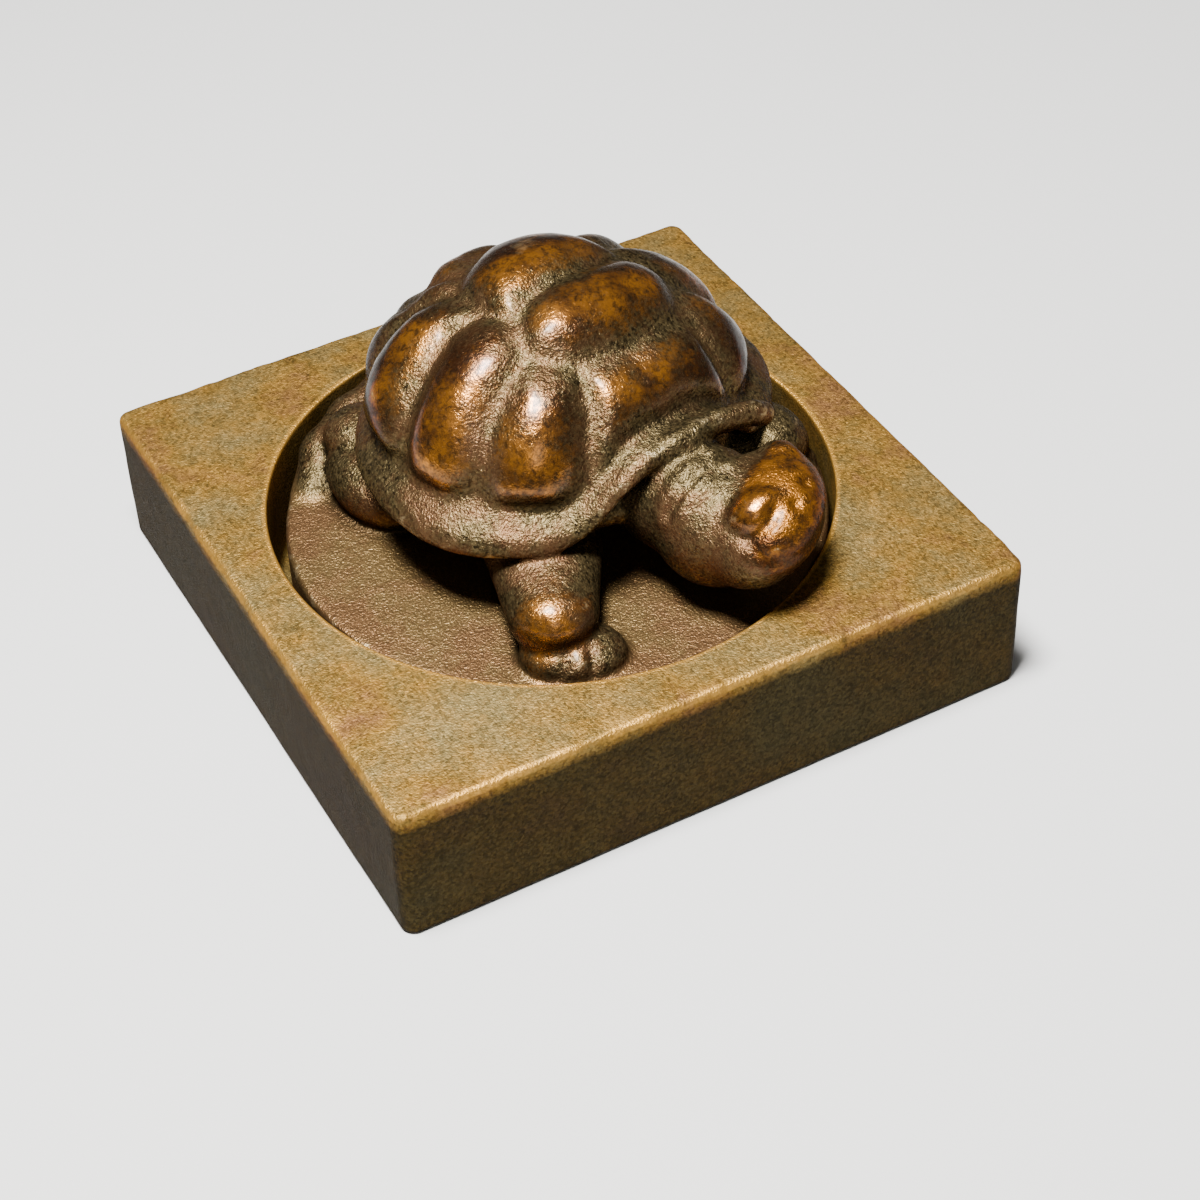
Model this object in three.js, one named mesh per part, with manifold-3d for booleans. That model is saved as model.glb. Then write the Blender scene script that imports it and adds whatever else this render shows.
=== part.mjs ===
// A cast bronze paperweight: a tortoise on a round disc, which lies in the
// round socket of a square base. Millimetres, +Z up, the origin in the middle
// of the underside.

import * as THREE from "three";
import { mergeVertices } from "three/addons/utils/BufferGeometryUtils.js";
import Module from "manifold-3d";

const wasm = await Module();
wasm.setup();

// The square base
const BASE_SIDE = 60;
const BASE_HEIGHT = 13.65;
const BASE_CORNER_RADIUS = 1.3;
const BASE_EDGE_ROUND = 0.7;
const SOCKET_RADIUS = 25.1;
const SOCKET_FLOOR = 4.0;
const SOCKET_LIP = 0.35;
const SOCKET_CENTRE = [-0.26, -0.09];

// The disc, which lies loose and a little off centre in the socket
const DISC_RADIUS = 24.25;
const DISC_TOP = 11.3;
const DISC_GAP = 0.3;
const DISC_EDGE_ROUND = 0.5;
const DISC_CENTRE = [0.24, -0.09];

// Flat sides on each full circle of the disc and the socket
const ROUND_SIDES = 60;

// Where the tortoise stands on the disc, and the way it faces
const TORTOISE_CENTRE = [2.44, 2.0];
const TORTOISE_HEADING = -76;

// The shell's dome: half sizes from its centre, which is CENTRE_HEIGHT over the disc
const DOME = {
  front: 14.6,
  rear: 17.6,
  side: 17.3,
  height: 11.8,
  depth: 14.0,
  centreHeight: 11.3,
  planPower: 2.1,
  profilePower: 1.68,
  lean: -0.13,
};

// The puffed lobes of the shell and the soft grooves between them
const LOBE_LIFT = 2.1;
const CROWN_HEIGHT = 0.26;
const GROOVE_WIDTH = 5;
const GROOVE_SOFTNESS = 0.8;
const GROOVE_FLOOR = 0.64;
const FOOT_STEEPNESS = 3;
const LOBE_MAP_RADIUS = 16;

// The drooping rim of the shell, which arches up over the neck
const RIM = {
  middle: 2,
  front: 13.6,
  rear: 19.5,
  side: 19.45,
  planPower: 2.1,
  height: 7.2,
  thickness: 1.5,
  slope: 0.75,
  archRise: 5.7,
  archHalfAngle: 32,
  archPower: 4,
  archLevelling: 0.9,
  widthShown: 2.2,
  depth: 4.5,
};

// Middle lines of the grooves between the shell's lobes, as [azimuth, tilt from upright]
// in degrees. Azimuth 0 is over the neck and 90 is the tortoise's left side.
const GROOVES_ON_TOP = [
  [[-72, 30], [-71, 18], [-32, 6], [68, 14], [86, 32], [91, 48]],
  [[-72, 30], [-56, 45], [-43, 46], [-27, 49], [4, 49], [34, 55], [48, 61], [71, 60], [91, 48]],
  [[-72, 30], [-103, 37], [-139, 47], [-160, 51], [180, 54], [158, 56], [132, 56], [109, 51], [91, 48]],
  [[-150, 66], [-170, 74], [170, 75], [150, 68]],
];
const GROOVES_DOWN_THE_SIDES = [
  [[-27, 49], [-28, 66], [-33, 85], [-38, 102]],
  [[-56, 45], [-64, 62], [-67, 84], [-71, 102]],
  [[-103, 37], [-106, 50], [-100, 70], [-97, 88], [-99, 102]],
  [[-139, 47], [-141, 60], [-134, 80], [-127, 102]],
  [[-160, 51], [-157, 66], [-155, 84], [-152, 102]],
  [[48, 61], [41, 76], [37, 90], [36, 102]],
  [[71, 60], [75, 78], [76, 102]],
  [[109, 51], [108, 72], [103, 102]],
  [[132, 56], [136, 78], [129, 102]],
  [[158, 56], [156, 78], [153, 102]],
];

// Head, limbs and tail in the tortoise's own frame: ahead, to its left, over the
// disc. A limb's stations are [ahead, left, up, radius].
const BELLY = { centre: [-1, 0, 7.5], radii: [15.5, 16, 4.2], flatFrom: 5.2 };
const LIP = [[14.7, -0.8, 13.2, 1.15], [14.8, 4, 13, 1.15], [15.2, 6, 12.7, 1.15], [15.4, 9, 11.5, 1.15]];
const NUB = { centre: [15.1, 0.4, 12.6], radii: [1.4, 1.7, 1.2] };
const NECK = [[8, 0, 8, 5.6], [16.5, 0.1, 7.5, 5.3]];
const THROAT = { centre: [19, 0.3, 6.8], radii: [5.6, 5.7, 5.5], heading: 10 };
const HEAD = { centre: [22.5, 2.1, 8.1], radii: [5.8, 6.8, 4.3], heading: 29, pitch: 36, roll: 9 };
const EYES = [
  { centre: [24, -0.6, 11.2], radii: [1.4, 1.4, 1.4] },
  { centre: [20, 6.8, 9.6], radii: [1.4, 1.4, 1.4] },
];
const FRONT_LEGS = [
  {
    leg: [[8.8, -10.6, 4.6, 5.3], [14.7, -14.8, 3.4, 3.9]],
    foot: { centre: [17.2, -15, 0.6], radii: [4.6, 3.4, 2], heading: 52 },
  },
  {
    leg: [[8, 9, 6.5, 4.4], [11.2, 13.4, 4.4, 4], [11.8, 14.4, 3, 3.2]],
    foot: { centre: [13, 14.2, 0.7], radii: [4.2, 3.4, 2], heading: -50 },
  },
];
const HIND_LEGS = [
  { centre: [-14.2, -10.6, 3.5], radii: [4.6, 3.8, 3.5], heading: 40 },
  { centre: [-10.4, -13.4, 1.9], radii: [6.2, 4, 3.2], heading: -8 },
  { centre: [-13, 9, 4.2], radii: [5.5, 4, 3.6], heading: -40 },
  { centre: [-10, 12.6, 2], radii: [5.2, 3.8, 3.2], heading: 10 },
];
const TAIL = [
  [-16, -0.5, 4, 3],
  [-19.2, -4.5, 1.8, 2.7],
  [-19.5, -8.8, 0.9, 2.5],
  [-18.4, -12.9, 0.2, 2.4],
  [-15.6, -16.8, -1.2, 2],
];

const radians = THREE.MathUtils.degToRad;
const degrees = THREE.MathUtils.radToDeg;
const clamp = THREE.MathUtils.clamp;

// Solids: from three.js geometry to a manifold and back

function solidFrom(geometry) {
  const bare = new THREE.BufferGeometry();
  bare.setAttribute("position", geometry.getAttribute("position").clone());
  if (geometry.index) {
    bare.setIndex(geometry.index.clone());
  }
  const merged = mergeVertices(bare, 1e-4);
  const mesh = new wasm.Mesh({
    numProp: 3,
    vertProperties: new Float32Array(merged.getAttribute("position").array),
    triVerts: new Uint32Array(merged.index.array),
  });
  return new wasm.Manifold(mesh);
}

function geometryFrom(solid) {
  const mesh = solid.getMesh();
  const geometry = new THREE.BufferGeometry();
  geometry.setAttribute("position", new THREE.BufferAttribute(mesh.vertProperties, 3));
  geometry.setIndex(new THREE.BufferAttribute(mesh.triVerts, 1));
  geometry.computeVertexNormals();
  return geometry;
}

function joined(geometries) {
  return geometries.map(solidFrom).reduce((whole, piece) => whole.add(piece));
}

// Plain helpers for the cast forms

function egg({ centre, radii, heading = 0, pitch = 0, roll = 0 }, segments = 14, rings = 8) {
  const geometry = new THREE.SphereGeometry(1, segments, rings);
  geometry.rotateX(Math.PI / 2);
  geometry.scale(...radii);
  geometry.rotateX(radians(roll));
  geometry.rotateY(radians(-pitch));
  geometry.rotateZ(radians(heading));
  geometry.translate(...centre);
  return geometry;
}

// A swept limb with round ends: stations are [x, y, z, radius]
function limb(stations, sides = 14, steps = 6) {
  const centres = new THREE.CatmullRomCurve3(stations.map(([x, y, z]) => new THREE.Vector3(x, y, z)));
  const radii = stations.map((station) => station[3]);
  const radiusAt = (t) => {
    const place = t * (radii.length - 1);
    const before = Math.min(Math.floor(place), radii.length - 2);
    return THREE.MathUtils.lerp(radii[before], radii[before + 1], place - before);
  };
  const frames = centres.computeFrenetFrames(steps, false);
  const capRings = 3;
  const rings = [];
  const addRing = (step, along, scale) => {
    const radius = radiusAt(step / steps);
    const middle = centres.getPoint(step / steps).addScaledVector(frames.tangents[step], along * radius);
    const ring = [];
    for (let side = 0; side < sides; side += 1) {
      const angle = (2 * Math.PI * side) / sides;
      const point = middle.clone();
      point.addScaledVector(frames.normals[step], Math.cos(angle) * radius * scale);
      point.addScaledVector(frames.binormals[step], Math.sin(angle) * radius * scale);
      ring.push(point);
    }
    rings.push(ring);
  };
  for (let cap = 1; cap <= capRings; cap += 1) {
    const tilt = (Math.PI / 2) * (cap / (capRings + 1));
    addRing(0, -Math.cos(tilt), Math.sin(tilt));
  }
  for (let step = 0; step <= steps; step += 1) {
    addRing(step, 0, 1);
  }
  for (let cap = capRings; cap >= 1; cap -= 1) {
    const tilt = (Math.PI / 2) * (cap / (capRings + 1));
    addRing(steps, Math.cos(tilt), Math.sin(tilt));
  }
  const first = centres.getPoint(0).addScaledVector(frames.tangents[0], -radiusAt(0));
  const last = centres.getPoint(1).addScaledVector(frames.tangents[steps], radiusAt(1));
  return closedSweep(rings, first, last);
}

// Rings of points joined into one closed skin; the ends close on a point each,
// or the last ring meets the first
function closedSweep(rings, first, last) {
  const sides = rings[0].length;
  const points = rings.flat();
  const faces = [];
  const loops = first ? rings.length - 1 : rings.length;
  for (let row = 0; row < loops; row += 1) {
    for (let side = 0; side < sides; side += 1) {
      const next = (side + 1) % sides;
      const above = (row + 1) % rings.length;
      const [a, b] = [row * sides + side, row * sides + next];
      const [c, d] = [above * sides + next, above * sides + side];
      faces.push(a, b, c, a, c, d);
    }
  }
  if (first) {
    const [firstIndex, lastIndex] = [points.length, points.length + 1];
    const lastRow = (rings.length - 1) * sides;
    points.push(first, last);
    for (let side = 0; side < sides; side += 1) {
      const next = (side + 1) % sides;
      faces.push(firstIndex, next, side);
      faces.push(lastIndex, lastRow + side, lastRow + next);
    }
  }
  const geometry = new THREE.BufferGeometry().setFromPoints(points);
  geometry.setIndex(faces);
  return geometry;
}

// The shell

// How far up the rim's arch over the neck is, from 0 to 1
function archAt(azimuth) {
  return Math.exp(-((Math.abs(azimuth) / RIM.archHalfAngle) ** RIM.archPower));
}

// How steeply the rim droops, which is hardly at all over the neck
function rimSlope(arch) {
  return RIM.slope * (1 - RIM.archLevelling * arch);
}

// A flat map of the dome, so that lobes can be measured in millimetres
function onLobeMap(azimuth, tilt) {
  const out = 2 * LOBE_MAP_RADIUS * Math.sin(radians(tilt) / 2);
  return new THREE.Vector2(out * Math.cos(radians(azimuth)), out * Math.sin(radians(azimuth)));
}

const GROOVES = [...GROOVES_ON_TOP, ...GROOVES_DOWN_THE_SIDES].map((line) =>
  line.map(([azimuth, tilt]) => onLobeMap(azimuth, tilt)),
);

function distanceToLine(point, line) {
  let nearest = Infinity;
  for (let index = 1; index < line.length; index += 1) {
    const along = line[index].clone().sub(line[index - 1]);
    const offset = point.clone().sub(line[index - 1]);
    const part = clamp(offset.dot(along) / along.lengthSq(), 0, 1);
    nearest = Math.min(nearest, offset.addScaledVector(along, -part).length());
  }
  return nearest;
}

// How far the smooth dome reaches from its centre along a direction
function domeReach(direction) {
  const along = direction.x > 0 ? DOME.front : DOME.rear;
  const up = direction.z > 0 ? DOME.height : DOME.depth;
  const plan =
    Math.abs(direction.x / along) ** DOME.planPower + Math.abs(direction.y / DOME.side) ** DOME.planPower;
  const whole = plan ** (DOME.profilePower / DOME.planPower) + Math.abs(direction.z / up) ** DOME.profilePower;
  return whole ** (-1 / DOME.profilePower);
}

// Height over the disc at which the lobes end on the rim
function lobeFoot(azimuth) {
  const arch = archAt(azimuth);
  return RIM.height + RIM.archRise * arch + rimSlope(arch) * RIM.widthShown + RIM.thickness / 2;
}

// From 0 in the grooves and where the lobes end on the rim, to 1 on the lobes' crowns.
// Adding up the nearness of every edge rounds the crowns.
function lobeFullness(azimuth, tilt, height) {
  const point = onLobeMap(azimuth, tilt);
  const distances = GROOVES.map((line) => distanceToLine(point, line));
  distances.push(FOOT_STEEPNESS * Math.max(height - lobeFoot(azimuth), 0));
  const nearness = distances.reduce((sum, distance) => sum + (distance ** 2 + GROOVE_SOFTNESS ** 2) ** -2, 0);
  const fromEdges = nearness ** -0.25 - GROOVE_FLOOR;
  return 1 - (1 - clamp(fromEdges / GROOVE_WIDTH, 0, 1)) ** 2;
}

function domeRadius(direction) {
  const azimuth = degrees(Math.atan2(direction.y, direction.x));
  const tilt = degrees(Math.acos(clamp(direction.z, -1, 1)));
  const reach = domeReach(direction);
  const fullness = lobeFullness(azimuth, tilt, DOME.centreHeight + reach * direction.z);
  return reach + CROWN_HEIGHT - LOBE_LIFT * (1 - fullness);
}

function domePoint(azimuth, tilt) {
  const direction = new THREE.Vector3().setFromSphericalCoords(1, radians(tilt), radians(azimuth));
  direction.set(direction.z, direction.x, direction.y);
  const point = direction.multiplyScalar(domeRadius(direction));
  point.x += DOME.lean * Math.max(point.z, 0);
  point.z = Math.max(point.z + DOME.centreHeight, BELLY.flatFrom);
  return point;
}

// The dome in rings from the crown down to its flat underside, inside the rim
function dome(segments = 60, rings = 24, lowestTilt = 118) {
  const levels = [];
  for (let ring = 1; ring <= rings; ring += 1) {
    const level = [];
    for (let segment = 0; segment < segments; segment += 1) {
      level.push(domePoint(180 - (360 * segment) / segments, (lowestTilt * ring) / rings));
    }
    levels.push(level);
  }
  return closedSweep(levels, domePoint(0, 0), domePoint(0, 180));
}

// The rim is a rounded section carried round the shell's outline
function rim(steps = 60) {
  const half = RIM.thickness / 2;
  const section = [
    [-RIM.depth, half],
    [-RIM.depth / 2, half],
    [-0.7, half],
    [-0.2, 0.7 * half],
    [0, 0],
    [-0.2, -0.7 * half],
    [-0.7, -half],
    [-RIM.depth, -half],
  ];
  const rings = [];
  for (let step = 0; step < steps; step += 1) {
    const turn = radians(-180 + (360 * step) / steps);
    const [x, y] = [Math.cos(turn), Math.sin(turn)];
    const along = x > 0 ? RIM.front : RIM.rear;
    const reach =
      (Math.abs(x / along) ** RIM.planPower + Math.abs(y / RIM.side) ** RIM.planPower) ** (-1 / RIM.planPower);
    rings.push(
      section.map(([out, up]) => {
        const [ahead, left] = [RIM.middle + (reach + out) * x, (reach + out) * y];
        const arch = archAt(degrees(Math.atan2(left, ahead)));
        return new THREE.Vector3(ahead, left, RIM.height + RIM.archRise * arch - rimSlope(arch) * out + up);
      }),
    );
  }
  return closedSweep(rings);
}

// Head, limbs and tail

function neckAndHead() {
  const eyes = EYES.map((eye) => egg(eye, 10, 6));
  return [limb(NECK, 16, 1), egg(THROAT, 16, 10), egg(HEAD, 20, 14), ...eyes];
}

// Every leg ends inside the rim's plate, so that the rim's edge runs on over it
function legs() {
  const insideTheRim = 0.3;
  const top = RIM.height - insideTheRim;
  const front = FRONT_LEGS.map(({ leg }) => limb(leg, 14, leg.length - 1));
  const hind = HIND_LEGS.map((piece) => egg(piece));
  return joined([...front, ...hind]).trimByPlane([0, 0, -1], -top);
}

function feet() {
  return FRONT_LEGS.map(({ foot }) => egg(foot, 16));
}

// Round pieces turned on the socket's axis

function roundedDisc(radius, height, round) {
  const quarter = (centreHeight, from) =>
    [0, 0.5, 1].map((part) => {
      const angle = from + (part * Math.PI) / 2;
      return new THREE.Vector2(radius - round + round * Math.cos(angle), centreHeight + round * Math.sin(angle));
    });
  const profile = [
    new THREE.Vector2(0, 0),
    ...quarter(round, -Math.PI / 2),
    ...quarter(height - round, 0),
    new THREE.Vector2(0, height),
  ];
  return new THREE.LatheGeometry(profile, ROUND_SIDES).rotateX(Math.PI / 2);
}

// The disc in the tortoise's frame, its top at height 0
function disc() {
  const bottom = SOCKET_FLOOR + DISC_GAP;
  const thickness = DISC_TOP - bottom;
  const geometry = roundedDisc(DISC_RADIUS, thickness, DISC_EDGE_ROUND);
  geometry.translate(DISC_CENTRE[0] - TORTOISE_CENTRE[0], DISC_CENTRE[1] - TORTOISE_CENTRE[1], -thickness);
  geometry.rotateZ(-radians(TORTOISE_HEADING));
  return geometry;
}

function tortoiseOnDisc() {
  const shell = [dome(), rim(), limb(LIP, 8, 5), egg(NUB, 10, 6), egg(BELLY, 20)];
  const ends = [...neckAndHead(), ...feet(), limb(TAIL, 12)];
  return geometryFrom(joined([disc(), ...shell, ...ends]).add(legs()));
}

// The base

function roundedSquare(side, radius) {
  const reach = side / 2;
  const shape = new THREE.Shape();
  const corners = [
    [1, -1, -90],
    [1, 1, 0],
    [-1, 1, 90],
    [-1, -1, 180],
  ];
  for (const [x, y, from] of corners) {
    const start = radians(from);
    shape.absarc(x * (reach - radius), y * (reach - radius), radius, start, start + Math.PI / 2);
  }
  return shape;
}

function socketCutter() {
  const above = 1;
  const profile = [
    [0, SOCKET_FLOOR],
    [SOCKET_RADIUS, SOCKET_FLOOR],
    [SOCKET_RADIUS, BASE_HEIGHT - SOCKET_LIP],
    [SOCKET_RADIUS + SOCKET_LIP, BASE_HEIGHT],
    [SOCKET_RADIUS + SOCKET_LIP, BASE_HEIGHT + above],
    [0, BASE_HEIGHT + above],
  ].map(([radius, height]) => new THREE.Vector2(radius, height));
  const cutter = new THREE.LatheGeometry(profile, ROUND_SIDES).rotateX(Math.PI / 2);
  return cutter.translate(...SOCKET_CENTRE, 0);
}

function squareBase() {
  const block = new THREE.ExtrudeGeometry(
    roundedSquare(BASE_SIDE - 2 * BASE_EDGE_ROUND, BASE_CORNER_RADIUS - BASE_EDGE_ROUND / 2),
    {
      depth: BASE_HEIGHT - 2 * BASE_EDGE_ROUND,
      bevelSize: BASE_EDGE_ROUND,
      bevelThickness: BASE_EDGE_ROUND,
      bevelSegments: 3,
      curveSegments: 5,
    },
  );
  block.translate(0, 0, BASE_EDGE_ROUND);
  return geometryFrom(solidFrom(block).subtract(solidFrom(socketCutter())));
}

// The two castings, each its own mesh

const goldenBronze = new THREE.MeshStandardMaterial({ color: 0x7a6032, roughness: 0.5, metalness: 1 });
const brownBronze = new THREE.MeshStandardMaterial({ color: 0x5a3d26, roughness: 0.38, metalness: 1 });

const base = new THREE.Mesh(squareBase(), goldenBronze);
base.name = "square_base";

const tortoise = new THREE.Mesh(tortoiseOnDisc(), brownBronze);
tortoise.name = "tortoise_on_disc";
tortoise.position.set(...TORTOISE_CENTRE, DISC_TOP);
tortoise.rotation.z = radians(TORTOISE_HEADING);

const paperweight = new THREE.Group();
paperweight.add(base, tortoise);

export default paperweight;
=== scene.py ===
"""The looks of a cast bronze tortoise on a disc, which lies in the round socket of a square base.

The file is laid out as an add-on and run as a script. Shapes are worked out in millimetres and
placed in metres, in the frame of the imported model.
"""

import math

import bpy
import numpy as np
from bpy.props import FloatProperty, FloatVectorProperty, PointerProperty
from mathutils import Matrix, Vector


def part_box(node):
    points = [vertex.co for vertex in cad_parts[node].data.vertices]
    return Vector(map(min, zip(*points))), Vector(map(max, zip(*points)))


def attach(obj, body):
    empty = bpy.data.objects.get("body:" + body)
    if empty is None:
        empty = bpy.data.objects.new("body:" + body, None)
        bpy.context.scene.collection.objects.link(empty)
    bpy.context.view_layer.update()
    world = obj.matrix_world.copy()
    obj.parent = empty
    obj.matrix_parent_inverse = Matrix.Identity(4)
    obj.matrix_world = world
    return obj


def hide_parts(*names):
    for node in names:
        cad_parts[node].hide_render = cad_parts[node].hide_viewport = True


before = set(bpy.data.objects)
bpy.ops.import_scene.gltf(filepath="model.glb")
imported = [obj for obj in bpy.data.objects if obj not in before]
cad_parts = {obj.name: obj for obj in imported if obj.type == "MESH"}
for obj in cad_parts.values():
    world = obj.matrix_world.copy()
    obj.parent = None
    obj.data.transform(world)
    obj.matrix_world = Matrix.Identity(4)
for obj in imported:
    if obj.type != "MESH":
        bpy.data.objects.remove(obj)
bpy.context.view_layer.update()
BASE_LOW, BASE_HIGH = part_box("square_base")
DISC_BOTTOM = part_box("tortoise_on_disc")[0].z

bl_info = {
    "name": "Bronze tortoise on a square base",
    "version": (1, 0, 0),
    "blender": (4, 5, 0),
    "location": "3D View > Sidebar > Tortoise",
    "description": "Builds a cast bronze tortoise on a disc that lies in a square base",
    "category": "Add Mesh",
}

MM = 0.001

# Where the tortoise stands and the way it faces, in degrees. Its own frame, in millimetres,
# has x ahead, y to its left and z up from the disc's top.
TORTOISE_CENTRE = (2.44, 2.0)
TORTOISE_HEADING = -76.0
# The disc lies a little to one side in its socket
DISC_TOP = 11.3
DISC_CENTRE = (0.24, -0.09)
SOCKET_CENTRE = (-0.26, -0.09)


def hex_colour(code):
    """The linear colour of an sRGB hex value such as 7a6032."""
    parts = [int(code[i : i + 2], 16) / 255 for i in (0, 2, 4)]
    return tuple(p / 12.92 if p <= 0.04045 else ((p + 0.055) / 1.055) ** 2.4 for p in parts)


def length_setting(name, description, default):
    return FloatProperty(name=name, description=description, default=default, unit="LENGTH", precision=5)


def colour_setting(name, description, code):
    return FloatVectorProperty(
        name=name, description=description, default=hex_colour(code), subtype="COLOR", size=3, min=0, max=1
    )


def power_setting(name, description, default):
    return FloatProperty(name=name, description=description, default=default, unit="POWER")


class BaseSettings(bpy.types.PropertyGroup):
    side: length_setting("Side", "Side of the square base", BASE_HIGH.x - BASE_LOW.x)
    height: length_setting("Height", "Height of the square base", BASE_HIGH.z)
    corner_radius: length_setting("Corner radius", "Rounding of the upright corners", 0.0013)
    edge_round: length_setting("Edge rounding", "Wear on the top edges", 0.0007)
    socket_radius: length_setting("Socket radius", "Radius of the round socket", 0.0251)
    socket_floor: length_setting("Socket floor", "Thickness under the socket", 0.004)
    gold: colour_setting("Gold", "Golden-brown patina", "946e30")
    olive: colour_setting("Olive", "Olive patina in the grain", "574723")
    grey: colour_setting("Grey", "Grey-green patches of old patina", "786d4a")
    rust: colour_setting("Rust", "Reddish patches of the patina", "744e38")
    # Painted shade that darkens the base's sides
    painted_side_shade: colour_setting("Side patina", "Darker patina on the less rubbed sides", "201e12")
    bare_metal: colour_setting("Bare metal", "Bronze where the edges are rubbed bare", "cf9a45")


class TortoiseSettings(bpy.types.PropertyGroup):
    disc_radius: length_setting("Disc radius", "Radius of the loose disc", 0.02425)
    lobe_lift: length_setting("Lobe lift", "Height of the shell's lobes over its grooves", 0.0016)
    groove_width: length_setting("Groove width", "Distance from a groove to a lobe's crown", 0.0050)
    grid_step: length_setting("Grid step", "Spacing of the grid that the casting is cut from", 0.00031)
    russet: colour_setting("Russet", "Smooth patina on the lobes", "472914")
    rust: colour_setting("Rust", "Reddish patches of the patina", "6e4c34")
    amber: colour_setting("Amber", "Patina rubbed thin by hands", "a86c27")
    dark_grain: colour_setting("Dark grain", "Darker specks of the sandy patina", "261f13")
    pale_grain: colour_setting("Pale grain", "Paler specks of the sandy patina", "6c5d3e")
    disc_patina: colour_setting("Disc patina", "Warmer sandy patina on the disc", "8a6d44")
    # Dark grime for the threads of dirt, and painted shade for the deep hollows
    grime_and_shade: colour_setting("Grime", "Dark dirt in the corners and pits", "1f1a11")
    # Also laid on the lobes' upper crests as a painted highlight
    bare_metal: colour_setting("Bare metal", "Bronze where the edges are rubbed bare", "dcc494")


class StageSettings(bpy.types.PropertyGroup):
    floor_colour: colour_setting("Floor", "Pale floor", "cfcecb")
    key_power: power_setting("Key light", "Power of the main lamp", 6.0)
    front_power: power_setting("Front light", "Power of the low lamp", 0.15)


# Meshes


def mesh_object(name, points, faces, material):
    """A smooth-shaded object in metres from points in millimetres."""
    mesh = bpy.data.meshes.new(name)
    mesh.from_pydata((np.asarray(points) * MM).tolist(), [], faces)
    mesh.shade_smooth()
    mesh.materials.append(material)
    made = bpy.data.objects.new(name, mesh)
    bpy.context.scene.collection.objects.link(made)
    return made


def store(mesh, name, values):
    """Keeps one number for each vertex, which the materials read by name."""
    attribute = mesh.attributes.new(name, "FLOAT", "POINT")
    attribute.data.foreach_set("value", np.asarray(values, np.float32))


def vertex_normals(points, quads):
    """Unit normals of the points of a mesh of quads."""
    quads = np.asarray(quads)
    a, b, c, d = (points[quads[:, corner]] for corner in range(4))
    across = np.cross(c - a, d - b)
    normals = np.zeros_like(points)
    for corner in range(4):
        np.add.at(normals, quads[:, corner], across)
    return normals / np.maximum(np.linalg.norm(normals, axis=1, keepdims=True), 1e-9)


def between_cells(grid, place):
    """A grid's values at places counted in cells, mixed smoothly from the corners round each place."""
    cell = np.floor(place).astype(int)
    part = place - cell
    part = part * part * (3 - 2 * part)
    mixed = np.zeros(len(place))
    for corner in np.ndindex(2, 2, 2):
        weight = np.prod(np.where(corner, part, 1 - part), axis=1)
        mixed += weight * grid[tuple(((cell + corner) % grid.shape).T)]
    return mixed


# Cells along each side of the block of random numbers that a relief is read from
RELIEF_CELLS = 64


def relief(points, size, seed):
    """Smooth random heights from -1 to 1, with hills about size apart."""
    lattice = np.random.default_rng(seed).uniform(-1, 1, (RELIEF_CELLS,) * 3)
    return between_cells(lattice, points / size + RELIEF_CELLS / 2)


def unevenness(points, layers, lowest=-1):
    """Reliefs added up. A layer is the size of its hills, their height and its seed."""
    return sum(np.maximum(relief(points, size, seed), lowest) * height for size, height, seed in layers)


def ramp(values, low, high):
    """0 at low and 1 at high, with an even slope between."""
    return np.clip((values - low) / (high - low), 0, 1)


def turn(a, b, degrees):
    """Two coordinates, seen from axes that are turned from the first towards the second."""
    cos, sin = math.cos(math.radians(degrees)), math.sin(math.radians(degrees))
    return cos * a + sin * b, cos * b - sin * a


def quads_between(ring, following):
    """Quads from one ring of point numbers to the next."""
    quads = []
    for step in range(len(ring)):
        after = (step + 1) % len(ring)
        quads.append((ring[step], ring[after], following[after], following[step]))
    return quads


# The square base: a profile carried round from the middle of the underside, up the side,
# over the top, down into the socket and to the middle of its floor. Each rounding has a
# radius in millimetres and a number of steps, and each straight stretch a number of rings.
FOOT_ROUND, FOOT_STEPS = 0.5, 4
HOLE_ROUND, HOLE_STEPS = 0.3, 4
FILLET, FILLET_STEPS = 0.4, 3
EDGE_STEPS, CORNER_STEPS = 5, 10
STEPS_ALONG, SIDE_RINGS, TOP_RINGS, SOCKET_RINGS = 96, 22, 30, 18
# Flat rings as shares of the underside's outline and of the socket's radius
UNDERSIDE_SHARES = (0.3, 0.6, 0.85)
FLOOR_SHARES = (0.7, 0.35)
# How far the points along the sides crowd towards the corners, from 0 to 1
CROWDING = 0.4

# Wear takes more from the outer edges, in shallow dents, and the faces stay a little uneven.
# Each layer is the size of its hills, their height and its seed.
EDGE_DENTS = ((2.6, 0.16, 11), (1.1, 0.10, 12))
FACE_LAYERS = ((5.0, 0.035, 13), (1.6, 0.022, 14))
FACE_DROP = 0.05
# How far dents and rubbing reach from an outer edge, in edge roundings, and how far from the
# socket's edge the rubbing ends and is full, in millimetres
DENT_REACH, RUBBING_REACH = 2.2, 1.6
HOLE_RUBBING = (0.8, 0.3)


def rounded_square(side, radius):
    """Points and outward normals round a square with round corners, anticlockwise."""
    reach = side / 2 - radius
    points, normals = [], []
    for quarter in range(4):
        angle = quarter * math.pi / 2
        ahead = np.array([math.cos(angle), math.sin(angle)])
        left = np.array([-ahead[1], ahead[0]])
        for step in range(STEPS_ALONG):
            even = (step + 0.5) / STEPS_ALONG
            crowded = 0.5 - 0.5 * math.cos(math.pi * even)
            share = CROWDING * crowded + (1 - CROWDING) * even
            points.append(ahead * (reach + radius) + left * reach * (2 * share - 1))
            normals.append(ahead)
        for normal in quarter_round((0, 0), 1, CORNER_STEPS, angle):
            points.append((ahead + left) * reach + np.array(normal) * radius)
            normals.append(np.array(normal))
    return np.array(points), np.array(normals)


def quarter_round(centre, radius, steps, start, way=1):
    """Steps of a quarter circle round a centre, on a plan or a profile."""
    places = []
    for step in range(steps):
        angle = start + way * math.pi / 2 * (step + 0.5) / steps
        places.append((centre[0] + radius * math.cos(angle), centre[1] + radius * math.sin(angle)))
    return places


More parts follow.
